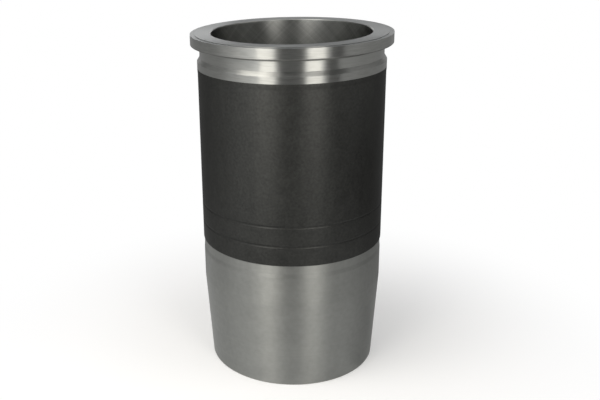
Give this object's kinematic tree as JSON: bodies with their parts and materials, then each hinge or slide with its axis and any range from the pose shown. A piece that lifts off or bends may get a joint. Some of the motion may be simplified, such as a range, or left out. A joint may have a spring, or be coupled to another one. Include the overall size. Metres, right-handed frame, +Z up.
{
  "type": "cylinder liner",
  "caption": "Wet cylinder liner: a thick iron tube with a honed bore, a flange over a relief neck at the top, a dark coated waist and a bright tapered skirt.",
  "frame": {"origin": "centre of the lower end, on the surface that the liner stands on", "axes": "+Z up the bore's axis, from the lower end to the flanged top; X and Y are free, because the liner is turned"},
  "size_m": [0.161, 0.161, 0.28],
  "materials": {
    "liner_iron": "bright turned and ground collar and skirt, dark matt coating round the waist, cross-hatched honed bore"
  },
  "bodies": {
    "root": {"cylinder_liner": "liner_iron"}
  },
  "joints": []
}
